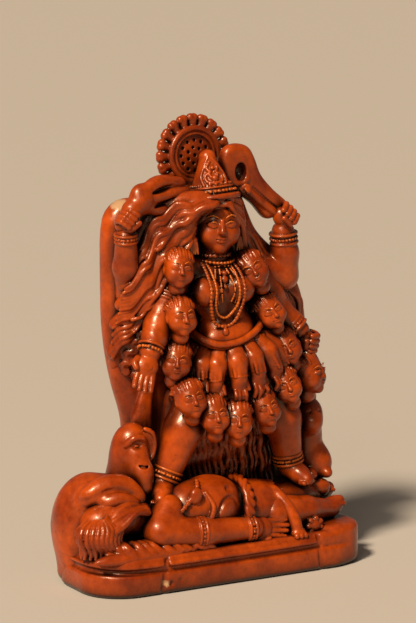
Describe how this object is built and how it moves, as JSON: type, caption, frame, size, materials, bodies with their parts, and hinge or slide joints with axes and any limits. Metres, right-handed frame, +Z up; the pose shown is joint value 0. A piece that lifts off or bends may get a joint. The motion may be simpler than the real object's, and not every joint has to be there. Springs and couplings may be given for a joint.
{
  "type": "hindu deity statue",
  "caption": "Glazed clay figurine of a many-armed goddess with blade, trident, head garland and petalled halo, standing on a reclining figure over a rounded plinth.",
  "frame": {"origin": "centre of the plinth's foot, on the ground it stands on", "axes": "+Z up to the halo, the figure faces -Y, +X to a viewer's right"},
  "size_m": [0.16, 0.06, 0.2274],
  "materials": {
    "glazed_clay": "glossy brush-marked orange-brown glaze, darker in the hollows"
  },
  "bodies": {
    "root": {"anklets": "glazed_clay", "back_slab": "glazed_clay", "bolster": "glazed_clay", "bull_head": "glazed_clay", "choker": "glazed_clay", "crown": "glazed_clay", "earrings": "glazed_clay", "garland_head_01": "glazed_clay", "garland_head_02": "glazed_clay", "garland_head_03": "glazed_clay", "garland_head_04": "glazed_clay", "garland_head_05": "glazed_clay", "garland_head_06": "glazed_clay", "garland_head_07": "glazed_clay", "garland_head_08": "glazed_clay", "garland_head_09": "glazed_clay", "garland_head_10": "glazed_clay", "garland_head_11": "glazed_clay", "goddess_head": "glazed_clay", "goddess_left_leg": "glazed_clay", "goddess_right_leg": "glazed_clay", "goddess_torso": "glazed_clay", "ground_locks": "glazed_clay", "ground_mound": "glazed_clay", "hair_bun": "glazed_clay", "hair_fall": "glazed_clay", "halo": "glazed_clay", "jackal": "glazed_clay", "left_hair": "glazed_clay", "long_necklace": "glazed_clay", "lowered_left_arm": "glazed_clay", "lowered_right_arm": "glazed_clay", "plinth": "glazed_clay", "raised_left_arm": "glazed_clay", "raised_right_arm": "glazed_clay", "reclining_arm": "glazed_clay", "reclining_far_leg": "glazed_clay", "reclining_hair": "glazed_clay", "reclining_head": "glazed_clay", "reclining_hips": "glazed_clay", "reclining_near_leg": "glazed_clay", "reclining_torso": "glazed_clay", "right_hair": "glazed_clay", "rope_belt": "glazed_clay", "severed_head": "glazed_clay", "skirt_arm_01": "glazed_clay", "skirt_arm_02": "glazed_clay", "skirt_arm_03": "glazed_clay", "skirt_arm_04": "glazed_clay", "skirt_arm_05": "glazed_clay", "skirt_arm_06": "glazed_clay", "skirt_arm_07": "glazed_clay", "skirt_arm_08": "glazed_clay", "skirt_arm_09": "glazed_clay", "skirt_arm_10": "glazed_clay", "sword": "glazed_clay", "trident": "glazed_clay", "waist_belt": "glazed_clay"}
  },
  "joints": []
}
